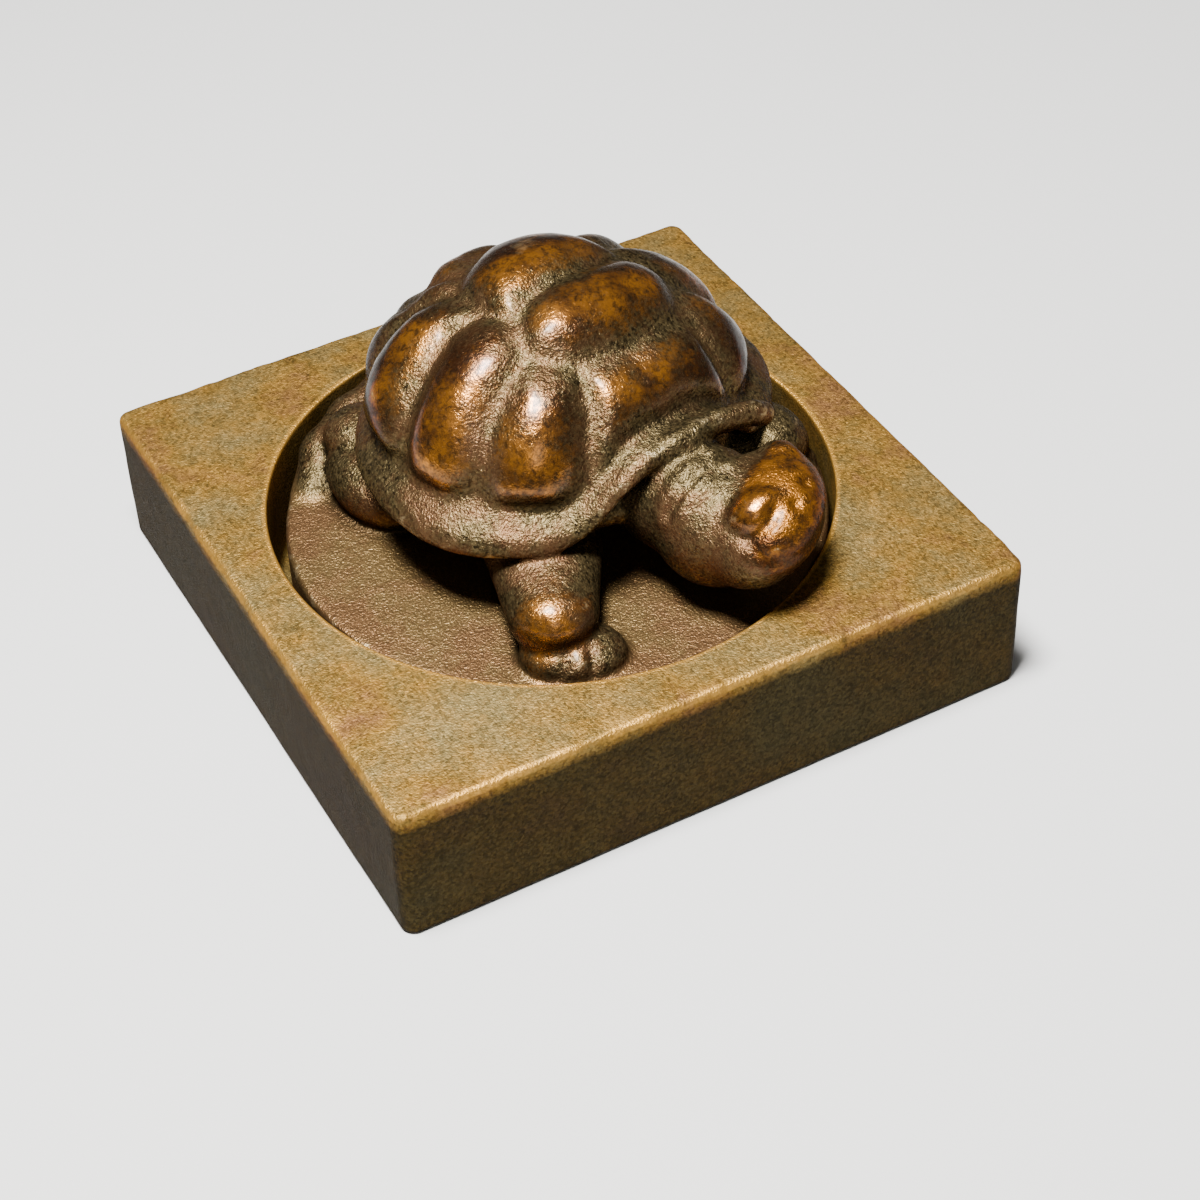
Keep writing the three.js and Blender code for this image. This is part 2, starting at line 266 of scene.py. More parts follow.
def base_rings(settings):
    """Rings of the base from the underside's middle outwards and round to the socket floor's middle."""
    side, height = settings.side / MM, settings.height / MM
    corner, edge = settings.corner_radius / MM, settings.edge_round / MM
    socket, floor = settings.socket_radius / MM, settings.socket_floor / MM
    outline, normals = rounded_square(side, corner)
    to_hole = outline - np.array(SOCKET_CENTRE)
    hole = to_hole / np.linalg.norm(to_hole, axis=1, keepdims=True)
    # The outer profile is listed as (outward, up) and the socket's as (radius, up)
    outer = quarter_round((-FOOT_ROUND, FOOT_ROUND), FOOT_ROUND, FOOT_STEPS, -math.pi / 2)
    outer += [(0, up) for up in np.linspace(FOOT_ROUND, height - edge, SIDE_RINGS)]
    outer += quarter_round((-edge, height - edge), edge, EDGE_STEPS, 0)
    outer.append((-edge, height))
    mouth, below_edge = socket + HOLE_ROUND, height - HOLE_ROUND
    inner = quarter_round((mouth, below_edge), HOLE_ROUND, HOLE_STEPS, math.pi / 2)
    inner += [(socket, up) for up in np.linspace(below_edge, floor + FILLET, SOCKET_RINGS)]
    inner += quarter_round((socket - FILLET, floor + FILLET), FILLET, FILLET_STEPS, 0, way=-1)
    inner += [(socket - FILLET, floor), *((socket * share, floor) for share in FLOOR_SHARES)]

    def ring(plan, up):
        return np.column_stack([plan, np.full(len(plan), up)])

    top_outer, top_inner = outline - normals * edge, hole * mouth + SOCKET_CENTRE
    rings = [ring(outline * share, 0) for share in UNDERSIDE_SHARES]
    rings += [ring(outline + normals * out, up) for out, up in outer]
    for row in range(1, TOP_RINGS + 1):
        share = row / TOP_RINGS
        rings.append(ring(top_outer * (1 - share) + top_inner * share, height))
    rings += [ring(hole * radius + SOCKET_CENTRE, up) for radius, up in inner]
    return rings, (0, 0, 0), (*SOCKET_CENTRE, floor)


def skin_rings(rings, first, last):
    """Points, quads and end triangles of rings that close on a point at each end."""
    around = len(rings[0])
    points = np.concatenate([*rings, [first, last]])
    numbers = np.arange(len(rings) * around).reshape(-1, around).tolist()
    quads = []
    for ring, following in zip(numbers, numbers[1:]):
        quads += quads_between(ring, following)
    ends = []
    for step in range(around):
        after = (step + 1) % around
        ends.append((len(points) - 2, after, step))
        ends.append((len(points) - 1, numbers[-1][step], numbers[-1][after]))
    return points, quads, ends


def build_base(settings):
    points, quads, ends = skin_rings(*base_rings(settings))
    height, side = settings.height / MM, settings.side / MM
    edge, socket = settings.edge_round / MM, settings.socket_radius / MM
    from_top = np.abs(points[:, 2] - height)
    from_side = side / 2 - np.abs(points[:, :2]).max(axis=1)
    from_edge = np.hypot(from_top, from_side) / edge
    from_hole = np.hypot(*(points[:, :2] - SOCKET_CENTRE).T) - socket
    dents = ramp(from_edge, DENT_REACH, 0) * unevenness(points, EDGE_DENTS, lowest=0)
    shift = ramp(points[:, 2], 0, 0.6) * (unevenness(points, FACE_LAYERS) - FACE_DROP - dents)
    points_worn = points + vertex_normals(points, quads) * shift[:, None]
    made = mesh_object("square_base_casting", points_worn, quads + ends, worn_bronze(settings))
    store(made.data, "rubbed", ramp(from_edge, RUBBING_REACH, 0))
    store(made.data, "hole_edge", ramp(np.hypot(from_top, from_hole), *HOLE_RUBBING))
    store(made.data, "on_side", ramp(height - points[:, 2], 0.1, 2.2) * (from_side < 0.5))
    store(made.data, "in_socket", (from_hole < 0.1) & (points[:, 2] > 1))
    return made


# The casting of the tortoise and its disc, as distances on a grid


def smooth_union(a, b, blend):
    """a and b joined, with a fillet where their distances differ by less than blend."""
    nearness = np.maximum(blend - np.abs(a - b), 0) / blend
    return np.minimum(a, b) - nearness * nearness * blend / 4


def smooth_cut(a, b, blend):
    """a without b."""
    return -smooth_union(-a, b, blend)


class Clay:
    """A block of grid points that shapes are added to and cut from. Each point holds its
    distance to the surface in millimetres, less than nothing inside."""

    def __init__(self, low, high, step):
        self.low = np.array(low, float)
        self.step = step
        self.axes = [np.arange(a, b, step, dtype=np.float32) for a, b in zip(low, high)]
        self.distance = np.full([len(axis) for axis in self.axes], 50, np.float32)

    def block(self, low, high, margin):
        """The slices of the grid inside a box, and its open coordinate arrays."""
        parts = tuple(
            slice(*np.searchsorted(axis, (a - margin, b + margin)))
            for axis, a, b in zip(self.axes, low, high)
        )
        return parts, np.ix_(*[axis[part] for axis, part in zip(self.axes, parts)])

    def add(self, shape, blend, join=smooth_union):
        parts, places = self.block(shape.low, shape.high, blend + 1)
        self.distance[parts] = join(self.distance[parts], shape.distance(*places), blend)

    def cut(self, shape, blend):
        self.add(shape, blend, smooth_cut)

    def solid_share(self, points, reach):
        """How much of the space round each point is solid. It is a half on a flat surface,
        more in a hollow and less on a ridge."""
        solid = np.clip(0.5 - self.distance / self.step, 0, 1)
        for axis in (0, 1, 2) * 2:
            solid = box_blur(solid, axis, round(reach / self.step))
        place = (points - self.low) / self.step
        return between_cells(solid, np.clip(place, 0, np.array(solid.shape) - 1.001))

    def onto_surface(self, place, depth=0.0):
        """The place moved straight to the surface, or to a depth below it."""
        place = np.array(place, float)
        two_cells = 2 * np.eye(3, dtype=int)
        for _ in range(8):
            cell = np.round((place - self.low) / self.step).astype(int)
            slope = np.array([self.at(cell + way) - self.at(cell - way) for way in two_cells])
            slope /= np.linalg.norm(slope)
            here = self.at(cell) + slope @ (place - self.low - cell * self.step)
            place -= slope * (here + depth)
        return place

    def at(self, cell):
        return self.distance[tuple(cell)]


def box_blur(grid, axis, reach):
    """The mean over a run of grid points along one axis, as far as reach to each side."""
    grid = np.moveaxis(grid, axis, 0)
    padded = np.concatenate([grid[:1]] * (reach + 1) + [grid] + [grid[-1:]] * reach)
    total = np.cumsum(padded, axis=0, dtype=np.float64)
    width = 2 * reach + 1
    return np.moveaxis((total[width:] - total[:-width]) / width, 0, axis)


class Shape:
    """A distance function and the box that holds its surface."""

    def __init__(self, distance, low, high):
        self.distance = distance
        self.low = np.array(low, float)
        self.high = np.array(high, float)


def turned(x, y, z, heading, pitch, roll):
    """Coordinates seen from a frame that is turned by heading, then pitch, then roll, in degrees."""
    x, y = turn(x, y, heading)
    x, z = turn(x, z, pitch)
    y, z = turn(y, z, roll)
    return x, y, z


def egg(centre, radii, heading=0.0, pitch=0.0, roll=0.0):
    """An ellipsoid, turned by angles in degrees."""

    def distance(x, y, z):
        x, y, z = turned(x - centre[0], y - centre[1], z - centre[2], heading, pitch, roll)
        near = np.sqrt((x / radii[0]) ** 2 + (y / radii[1]) ** 2 + (z / radii[2]) ** 2)
        steep = np.sqrt((x / radii[0] ** 2) ** 2 + (y / radii[1] ** 2) ** 2 + (z / radii[2] ** 2) ** 2)
        return near * (near - 1) / np.maximum(steep, 1e-6)

    reach = max(radii)
    return Shape(distance, np.array(centre) - reach, np.array(centre) + reach)


def limb(start, end, start_radius, end_radius):
    """A bar with round ends that tapers from one radius to the other."""
    start, end = np.array(start, float), np.array(end, float)
    way = end - start

    def distance(x, y, z):
        x, y, z = x - start[0], y - start[1], z - start[2]
        along = np.clip((x * way[0] + y * way[1] + z * way[2]) / (way @ way), 0, 1)
        x, y, z = x - along * way[0], y - along * way[1], z - along * way[2]
        return np.sqrt(x**2 + y**2 + z**2) - (start_radius + (end_radius - start_radius) * along)

    reach = max(start_radius, end_radius)
    return Shape(distance, np.minimum(start, end) - reach, np.maximum(start, end) + reach)


def chain(places, radii, blend):
    """Limbs from place to place, with a radius at each place."""
    ends = zip(zip(places, places[1:]), zip(radii, radii[1:]))
    return blended([limb(*pair, *sizes) for pair, sizes in ends], blend)


def cord(places, radius):
    """A line of limbs of one radius, for creases, folds and the shell's lip."""
    return chain(places, [radius] * len(places), 0.1)


def blended(shapes, blend):
    """Shapes joined into one with fillets between them."""

    def distance(x, y, z):
        whole = shapes[0].distance(x, y, z)
        for shape in shapes[1:]:
            whole = smooth_union(whole, shape.distance(x, y, z), blend)
        return whole

    low = np.min([shape.low for shape in shapes], axis=0)
    high = np.max([shape.high for shape in shapes], axis=0)
    return Shape(distance, low, high)


# The shell's dome: half sizes from its centre, which is centre_height over the disc
DOME = dict(
    front=14.6, rear=17.6, side=17.3, height=11.8, depth=14.0,
    centre_height=11.3, underside=5.2, plan_power=2.1, profile_power=1.68, lean=-0.13,
)
# How the lobes stand on it: the rise of their crowns, the rounding in the grooves, how quickly
# they rise from the rim and how blunt they are on top
CROWN_HEIGHT = 0.26
GROOVE_SOFTNESS = 0.8
FOOT_STEEPNESS = 1.3
CROWN_FULLNESS = 2.3
LOBE_MAP_RADIUS = 16.0
# Distances to the squashed dome and to the slanting rim come out too long, and are scaled down
DOME_SQUASH = 0.85
RIM_SLANT = 0.8

# The drooping rim of the shell, which arches up over the neck
RIM = dict(
    middle=2.0, front=13.6, rear=19.5, side=19.45, plan_power=2.1, height=7.2, thickness=1.5,
    slope=0.75, width=6.0, arch_rise=5.7, arch_half_angle=32.0, arch_power=4.0,
)
# How far the lobes end inside the rim's edge
LOBE_INSET = 1.5

# Middle lines of the grooves between the shell's lobes, as (azimuth, tilt from upright) in
# degrees. Azimuth 0 is over the neck and 90 is the tortoise's left side.
GROOVES_ON_TOP = (
    ((-72, 30), (-71, 18), (-32, 6), (68, 14), (86, 32), (91, 48)),
    ((-72, 30), (-56, 45), (-43, 46), (-27, 49), (4, 49), (34, 55), (48, 61), (71, 60), (91, 48)),
    ((-72, 30), (-103, 35), (-139, 43), (-160, 46), (180, 49), (158, 52), (132, 53), (109, 50), (91, 48)),
    ((-150, 66), (-170, 74), (170, 75), (150, 68)),
)
GROOVES_DOWN_THE_SIDES = (
    ((-27, 49), (-28, 66), (-33, 85), (-38, 102)),
    ((-56, 45), (-64, 62), (-67, 84), (-71, 102)),
    ((-103, 35), (-106, 50), (-100, 70), (-97, 88), (-99, 102)),
    ((-139, 43), (-141, 60), (-134, 80), (-127, 102)),
    ((-160, 46), (-157, 66), (-155, 84), (-152, 102)),
    ((48, 61), (41, 76), (37, 90), (36, 102)),
    ((71, 60), (75, 78), (76, 102)),
    ((109, 50), (108, 72), (103, 102)),
    ((132, 53), (136, 78), (129, 102)),
    ((158, 52), (156, 78), (153, 102)),
)
GROOVES = GROOVES_ON_TOP + GROOVES_DOWN_THE_SIDES


def arch_at(azimuth):
    """How far up the rim's arch over the neck is, from 0 to 1."""
    return np.exp(-((np.abs(azimuth) / RIM["arch_half_angle"]) ** RIM["arch_power"]))


def rim_middle(arch, inward):
    """The height of the rim's middle at a distance inward from its edge. It slopes less in the arch."""
    return RIM["height"] + RIM["arch_rise"] * arch + RIM["slope"] * (1 - 0.9 * arch) * inward


def on_lobe_map(azimuth, tilt):
    """A flat map of the dome on which lobes are measured in millimetres."""
    out = 2 * LOBE_MAP_RADIUS * np.sin(np.radians(tilt) / 2)
    return out * np.cos(np.radians(azimuth)), out * np.sin(np.radians(azimuth))


def distance_on_map(u, v, line):
    """Distance from places on the lobe map to a line through points of azimuth and tilt."""
    ends = [on_lobe_map(*point) for point in line]
    nearest = np.full(u.shape, 1e3, np.float32)
    for (a, b), (c, d) in zip(ends, ends[1:]):
        along = np.clip(((u - a) * (c - a) + (v - b) * (d - b)) / ((c - a) ** 2 + (d - b) ** 2), 0, 1)
        nearest = np.minimum(nearest, np.hypot(u - a - along * (c - a), v - b - along * (d - b)))
    return nearest


def lobe_foot(azimuth):
    """The height at which the lobes end on the rim."""
    return rim_middle(arch_at(azimuth), LOBE_INSET) + RIM["thickness"] / 2


def lobe_fullness(azimuth, tilt, height, groove_width):
    """0 in the grooves and where the lobes end on the rim, and 1 on the lobes' crowns."""
    foot = lobe_foot(azimuth)
    u, v = on_lobe_map(azimuth, tilt)
    # Adding up the nearness of every edge rounds the crowns, where two edges are equally near
    nearness = (FOOT_STEEPNESS**2 * np.maximum(height - foot, 0) ** 2 + GROOVE_SOFTNESS**2) ** -2
    for line in GROOVES:
        nearness += (distance_on_map(u, v, line) ** 2 + GROOVE_SOFTNESS**2) ** -2
    # Most of the softness comes off again, so that the grooves reach nearly their full depth
    from_edges = nearness**-0.25 - 0.8 * GROOVE_SOFTNESS
    return 1 - (1 - np.clip(from_edges / groove_width, 0, 1)) ** CROWN_FULLNESS


def around_dome(x, y, z):
    """Azimuth and tilt of places round the dome's centre, their distance from it and the
    distance to which the smooth dome reaches there."""
    up = z - DOME["centre_height"]
    x, y, up = np.broadcast_arrays(x - DOME["lean"] * np.maximum(up, 0), y, up)
    radius = np.sqrt(x * x + y * y + up * up) + 1e-6
    along = np.where(x > 0, DOME["front"], DOME["rear"])
    rise = np.where(up > 0, DOME["height"], DOME["depth"])
    plan, profile = DOME["plan_power"], DOME["profile_power"]
    whole = (np.abs(x / along) ** plan + np.abs(y / DOME["side"]) ** plan) ** (profile / plan)
    reach = radius / np.maximum((whole + np.abs(up / rise) ** profile) ** (1 / profile), 1e-4)
    return np.degrees(np.arctan2(y, x)), np.degrees(np.arccos(up / radius)), radius, reach


def dome(settings):
    lift, groove_width = settings.lobe_lift / MM, settings.groove_width / MM

    def distance(x, y, z):
        azimuth, tilt, radius, reach = around_dome(x, y, z)
        # The lobes are only needed close to the surface
        near = np.abs(radius - reach) < 4
        height = np.broadcast_to(z, near.shape)
        lifted = np.full(radius.shape, CROWN_HEIGHT, np.float32)
        lifted[near] -= lift * (1 - lobe_fullness(azimuth[near], tilt[near], height[near], groove_width))
        return (radius - reach - lifted) * DOME_SQUASH

    def standing(x, y, z):
        return smooth_cut(distance(x, y, z), z - DOME["underside"], 0.5)

    low = (-DOME["rear"] - 3, -DOME["side"] - 2, 0)
    high = (DOME["front"] + 2, DOME["side"] + 2, DOME["centre_height"] + DOME["height"] + 2)
    return Shape(standing, low, high)


def rim():
    def distance(x, y, z):
        arch = arch_at(np.degrees(np.arctan2(y, x + 0 * y)))
        x = x - RIM["middle"]
        along = np.where(x > 0, RIM["front"], RIM["rear"])
        power = RIM["plan_power"]
        share = (np.abs(x / along) ** power + np.abs(y / RIM["side"]) ** power) ** (1 / power)
        out = (share - 1) * np.hypot(x, y) / np.maximum(share, 1e-4)
        middle = rim_middle(arch, np.clip(-out, 0, RIM["width"]))
        plate = np.abs(z - middle) * RIM_SLANT - RIM["thickness"] / 2
        return -smooth_union(-plate, -out + 0 * plate, 1.0)

    low = (-RIM["rear"], -RIM["side"], RIM["height"] - 2)
    high = (RIM["front"] + RIM["middle"], RIM["side"], RIM["height"] + RIM["arch_rise"] + 6)
    return Shape(distance, low, high)


# The rim's lip over the neck is a thick roll. It starts at a nub and flares out to the left.
LIP = (
    (14.7, -0.8, 13.2), (14.8, 1.6, 13.2), (14.8, 4.0, 13.0),
    (15.2, 6.0, 12.7), (15.6, 7.8, 12.3), (15.4, 9.0, 11.5),
)
LIP_RADIUS = 1.15


def lip_and_nub():
    return cord(LIP, LIP_RADIUS), egg((15.1, 0.4, 12.6), (1.4, 1.7, 1.2))


def disc(radius, thickness):
    centre = np.array(in_tortoise_frame(DISC_CENTRE))

    def distance(x, y, z):
        out = np.hypot(x - centre[0], y - centre[1]) - radius
        return -smooth_union(-out - 0 * z, thickness / 2 - np.abs(z + thickness / 2) + 0 * out, 0.6)

    return Shape(distance, (*(centre - radius), -thickness), (*(centre + radius), 0))


def in_tortoise_frame(place):
    """A place on the base's plan, seen in the tortoise's own frame."""
    return turn(place[0] - TORTOISE_CENTRE[0], place[1] - TORTOISE_CENTRE[1], TORTOISE_HEADING)


HEAD = dict(centre=(22.5, 2.1, 8.1), radii=(5.8, 6.8, 4.3), heading=29, pitch=36, roll=9)


def neck_and_head():
    neck = limb((8, 0, 8.0), (16.5, 0.1, 7.5), 5.6, 5.3)
    throat = egg((19.0, 0.3, 6.8), (5.6, 5.7, 5.5), heading=10)
    return neck, throat, egg(**HEAD)


# How far the head reaches from its middle, and where it starts ahead of the neck
HEAD_REACH, HEAD_START = 8, 19.5

# The face, as places (ahead, left, up) from the middle of the head. The eye, its folds and the
# mouth are listed for the right side, and the left side is its mirror image about FACE_MIDDLE.
# The two nostrils are both listed, because the snout is a little askew.
FACE_HEADING = 28.0
FACE_MIDDLE = 1.3
EYE = (0.0, -3.5, 3.7)
EYE_DEPTH, EYE_RADII, EYE_TURN = 0.9, (1.7, 1.5, 1.5), -40
UPPER_LID = ((-1.1, -3.7, 3.2), (-0.8, -3.0, 3.7), (0.0, -2.5, 4.1), (0.8, -2.4, 4.3))
UNDER_EYE = ((0.2, -5.3, 2.4), (1.1, -4.9, 2.8), (1.7, -4.1, 3.4), (1.8, -3.2, 4.0))
NOSTRILS, NOSTRIL_RADIUS = ((3.4, -1.9, 4.1), (3.5, 0.6, 4.4)), 0.4
MOUTH = (
    (-1.2, -5.0, 2.1), (0.3, -5.6, 2.2), (1.6, -6.1, 1.4), (3.7, -5.2, 0.6),
    (4.7, -3.7, 0.5), (5.2, -1.6, 0.9), (5.3, 0.9, 1.3),
)

# Folds of the neck behind the head, in the tortoise's own frame
NECK_CREASE = (
    (18.1, -1.3, 12.3), (18.2, -2.4, 11.9), (18.2, -3.2, 11.3), (18.2, -3.9, 10.6), (17.9, -4.5, 9.7)
)
NECK_RIDGES = (
    ((17.4, -1.4, 12.5), (17.5, -2.4, 12.1), (17.6, -3.3, 11.4), (17.6, -4.2, 10.4), (17.6, -4.7, 9.5)),
    ((18.8, -1.6, 12.1), (18.8, -2.4, 11.7), (18.8, -3.3, 11.1), (18.9, -4.1, 10.3)),
)

# Short cuts between the claws, from on top of the foot to its edge
RIGHT_CLAW_CUTS = (((18.0, -16.2, 2.4), (18.9, -18.2, 0.4)), ((19.2, -14.6, 2.4), (20.6, -16.0, 0.4)))
LEFT_CLAW_CUTS = (((14.4, 14.0, 2.2), (16.2, 14.6, 0.4)), ((13.6, 15.6, 2.2), (14.6, 17.2, 0.4)))


def on_face(place, side):
    """A place on the face's right side, or its mirror image when side is 1, in the tortoise's frame."""
    ahead, left, up = place
    if side > 0:
        left = 2 * FACE_MIDDLE - left
    ahead, left = turn(ahead, left, -FACE_HEADING)
    x, y, z = HEAD["centre"]
    return x + ahead, y + left, z + up


def along_surface(clay, line, radius, depth=0.0):
    """A cord along a line that is laid onto the clay's surface, or to a depth below it."""
    return cord([clay.onto_surface(place, depth) for place in line], radius)


def add_face(clay):
    for side in (-1, 1):
        lid, under, mouth = (
            [on_face(place, side) for place in line] for line in (UPPER_LID, UNDER_EYE, MOUTH)
        )
        eye = egg(clay.onto_surface(on_face(EYE, side), EYE_DEPTH), EYE_RADII, heading=side * EYE_TURN)
        clay.add(along_surface(clay, lid, 0.7, 0.3), 1.4)
        clay.add(eye, 1.0)
        clay.cut(along_surface(clay, under, 0.25, -0.05), 0.9)
        clay.cut(along_surface(clay, mouth, 0.15, -0.35), 1.0)
    for nostril in NOSTRILS:
        clay.cut(egg(clay.onto_surface(on_face(nostril, -1)), (NOSTRIL_RADIUS,) * 3), 0.6)


def add_folds(clay):
    for side in (1, -1):
        for ridge in NECK_RIDGES:
            clay.add(along_surface(clay, [(x, side * y, z) for x, y, z in ridge], 0.5, 0.4), 1.4)
        crease = [(x, side * y, z) for x, y, z in NECK_CREASE]
        clay.cut(along_surface(clay, crease, 0.2), 0.9)


def add_claws(clay):
    for line in RIGHT_CLAW_CUTS + LEFT_CLAW_CUTS:
        clay.cut(along_surface(clay, line, 0.1, -0.28), 0.8)


# How far below the rim's edge the limbs end, and how softly
LIMB_DROP, LIMB_BLEND = 0.3, 3.6


def under_rim(shape):
    """A limb that ends inside the rim's plate, so that the rim's edge runs on unbroken over it."""
    top = RIM["height"] - LIMB_DROP

    def distance(x, y, z):
        return smooth_cut(shape.distance(x, y, z), top - z, LIMB_BLEND)

    return Shape(distance, shape.low, shape.high)


def front_legs():
    right = limb((8.8, -10.6, 4.6), (14.7, -14.8, 3.4), 5.3, 3.9)
    left = chain(((8, 9, 6.5), (11.2, 13.4, 4.4), (11.8, 14.4, 3.0)), (4.4, 4.0, 3.2), 0.6)
    right_foot = egg((17.2, -15.0, 0.6), (4.6, 3.4, 2.0), heading=52)
    left_foot = egg((13.0, 14.2, 0.7), (4.2, 3.4, 2.0), heading=-50)
    return (under_rim(right), under_rim(left)), (right_foot, left_foot)


def hind_legs():
    right = (
        egg((-14.2, -10.6, 3.5), (4.6, 3.8, 3.5), heading=40),
        egg((-10.4, -13.4, 1.9), (6.2, 4.0, 3.2), heading=-8),
    )
    left = (
        egg((-13.0, 9.0, 4.2), (5.5, 4.0, 3.6), heading=-40),
        egg((-10.0, 12.6, 2.0), (5.2, 3.8, 3.2), heading=10),
    )
    return right + left


def tail():
    course = (
        (-16, -0.5, 4.0), (-19.2, -4.5, 1.8), (-19.5, -8.8, 0.9), (-18.4, -12.9, 0.2), (-15.6, -16.8, -1.2)
    )
    return chain(course, (3.0, 2.7, 2.5, 2.4, 2.0), 0.8)


# The box that holds the tortoise, in its own frame
CLAY_LOW, CLAY_HIGH = (-24.8, -28.2, -1.0), (31.0, 22.8, 25.0)


def sculpt(settings):
    """The clay of the tortoise and the upper part of its disc."""
    clay = Clay(CLAY_LOW, CLAY_HIGH, settings.grid_step / MM)
    lip, nub = lip_and_nub()
    belly = egg((-1, 0, 7.5), (15.5, 16, 4.2))
    legs, feet = front_legs()
    hind = [under_rim(part) for part in hind_legs()]
    neck, throat, skull = neck_and_head()
    shapes = [(dome(settings), 0.8), (rim(), 0.8), (lip, 0.4), (nub, 0.4), (belly, 1.0)]
    shapes += [(shape, 0.5) for shape in (*legs, *feet, *hind, tail(), neck)]
    shapes += [(throat, 0.3), (skull, 1.0)]
    for shape, blend in shapes:
        clay.add(shape, blend)
    add_folds(clay)
    add_face(clay)
    add_claws(clay)
    clay.add(disc(settings.disc_radius / MM, DISC_TOP - DISC_BOTTOM / MM), 0.7)
    return clay


def surface(clay):
    """Points and quads of the clay's surface, one point in each grid cell that it crosses."""
    inside = clay.distance < 0
    corners = list(np.ndindex(2, 2, 2))
    size = np.array(inside.shape) - 1
    count = np.zeros(size, np.int8)
    for i, j, k in corners:
        count += inside[i : size[0] + i, j : size[1] + j, k : size[2] + k]
    crossed = (count > 0) & (count < 8)
    cells = np.argwhere(crossed)
    number = np.full(size, -1)
    number[crossed] = np.arange(len(cells))
    # A cell's point is the middle of the places where the surface crosses the cell's edges
    total, found = np.zeros((len(cells), 3)), np.zeros(len(cells))
    for corner in corners:
        for axis in range(3):
            if corner[axis]:
                continue
            other = list(corner)
            other[axis] = 1
            a = clay.distance[tuple((cells + corner).T)]
            b = clay.distance[tuple((cells + other).T)]
            meets = (a < 0) != (b < 0)
            place = np.tile(np.array(corner, float), (len(cells), 1))
            place[:, axis] = np.where(meets, a / np.where(meets, a - b, 1), 0)
            total[meets] += place[meets]
            found += meets
    points = clay.low + clay.step * (cells + total / found[:, None])
    # Every grid edge that the surface crosses gives a quad between the four cells round it
    quads = []
    for axis in range(3):
        near = np.moveaxis(inside, axis, 0)[:-1]
        far = np.moveaxis(inside, axis, 0)[1:]
        edges = np.argwhere(np.moveaxis(near != far, 0, axis))
        first, second = (axis + 1) % 3, (axis + 2) % 3
        beside = edges[:, [first, second]]
        last = np.array(inside.shape)[[first, second]] - 1
        edges = edges[np.all((beside > 0) & (beside < last), axis=1)]
        ring = []
        for back_first, back_second in ((1, 1), (0, 1), (0, 0), (1, 0)):
            cell = edges.copy()
            cell[:, first] -= back_first
            cell[:, second] -= back_second
            ring.append(number[tuple(cell.T)])
        ring = np.stack(ring, 1)
        turned_in = ~inside[tuple(edges.T)]
        ring[turned_in] = ring[turned_in][:, ::-1]
        quads.append(ring)
    return points, np.concatenate(quads)


def open_edge(quads):
    """The points round the hole in a mesh of quads that has one, in order, against the faces' turn."""
    starts, ends = quads.ravel(), np.roll(quads, -1, axis=1).ravel()
    width = quads.max() + 1
    codes, back = starts * width + ends, ends * width + starts
    lone = ~np.isin(codes, back)
    follows = dict(zip(ends[lone].tolist(), starts[lone].tolist()))
    first = next(iter(follows))
    loop = [first]
    while follows[loop[-1]] != first:
        loop.append(follows[loop[-1]])
    return loop


# Places where hands have rubbed the patina to amber: (ahead, left, up) and how far it reaches.
# They are lobes of the shell and the knee of the right front leg.
KNEE = (17.0, -17.4, 4.6)
AMBER_PLACES = (
    ((2.0, -14.1, 16.8), 3.2), ((2.8, -16.1, 14.1), 3.0), ((9.0, -11.6, 15.1), 3.4),
    ((6.5, -12.1, 15.5), 2.6), ((4.3, 1.2, 21.8), 3.2), ((2.3, -3.5, 21.6), 2.2),
    ((4.1, 5.7, 20.9), 2.6), ((9.5, 2.3, 17.7), 2.8), ((10.1, -1.8, 17.6), 2.4),
    ((-3.7, -3.1, 22.5), 2.8), ((-2.9, 1.2, 22.8), 2.6), ((-2.1, 4.5, 21.6), 2.6),
    ((-6.4, -11.0, 18.4), 2.6), ((-5.3, -14.0, 15.9), 2.8), ((4.7, 12.2, 16.3), 2.8),
    ((2.0, 15.0, 15.0), 3.0), ((-10.0, 10.0, 17.0), 3.0), ((-13.0, -2.0, 18.0), 3.2),
    ((-8.0, 3.0, 21.0), 2.6), (KNEE, 3.4),
)

# Reliefs as layers: the size of the hills, their height and the seed
AMBER_LAYER = ((4.0, 0.3, 21),)
SNOUT_LAYERS = ((1.4, 0.5, 23), (0.5, 0.3, 24))
CASTING_LAYERS = ((3.2, 0.07, 31), (1.5, 0.05, 32), (0.7, 0.035, 33))
CASTING_DROP = 0.03

# The spaces round a point that tell how hollow and how sharp the surface is there
HOLLOW_REACH, EDGE_REACH = 1.25, 0.5

# The disc's side and underside below the clay, as (inward, up from the underside)
DISC_RINGS = ((0, 3.5), (0, 0.5), (0.15, 0.15), (0.5, 0), (8, 0), (16, 0))


def away_from(points, place):
    return np.linalg.norm(points - np.array(place), axis=1)


def snout_share(points):
    """1 on the snout, which is rubbed to amber, and 0 behind a slanting line across the head."""
    out = points - np.array(HEAD["centre"])
    ahead, _ = turn(out[:, 0], out[:, 1], FACE_HEADING)
    on_head = (np.linalg.norm(out, axis=1) < HEAD_REACH) & (points[:, 0] > HEAD_START)
    return on_head * ramp(ahead + 0.75 * out[:, 2] + unevenness(points, SNOUT_LAYERS), 0.4, 2.6)


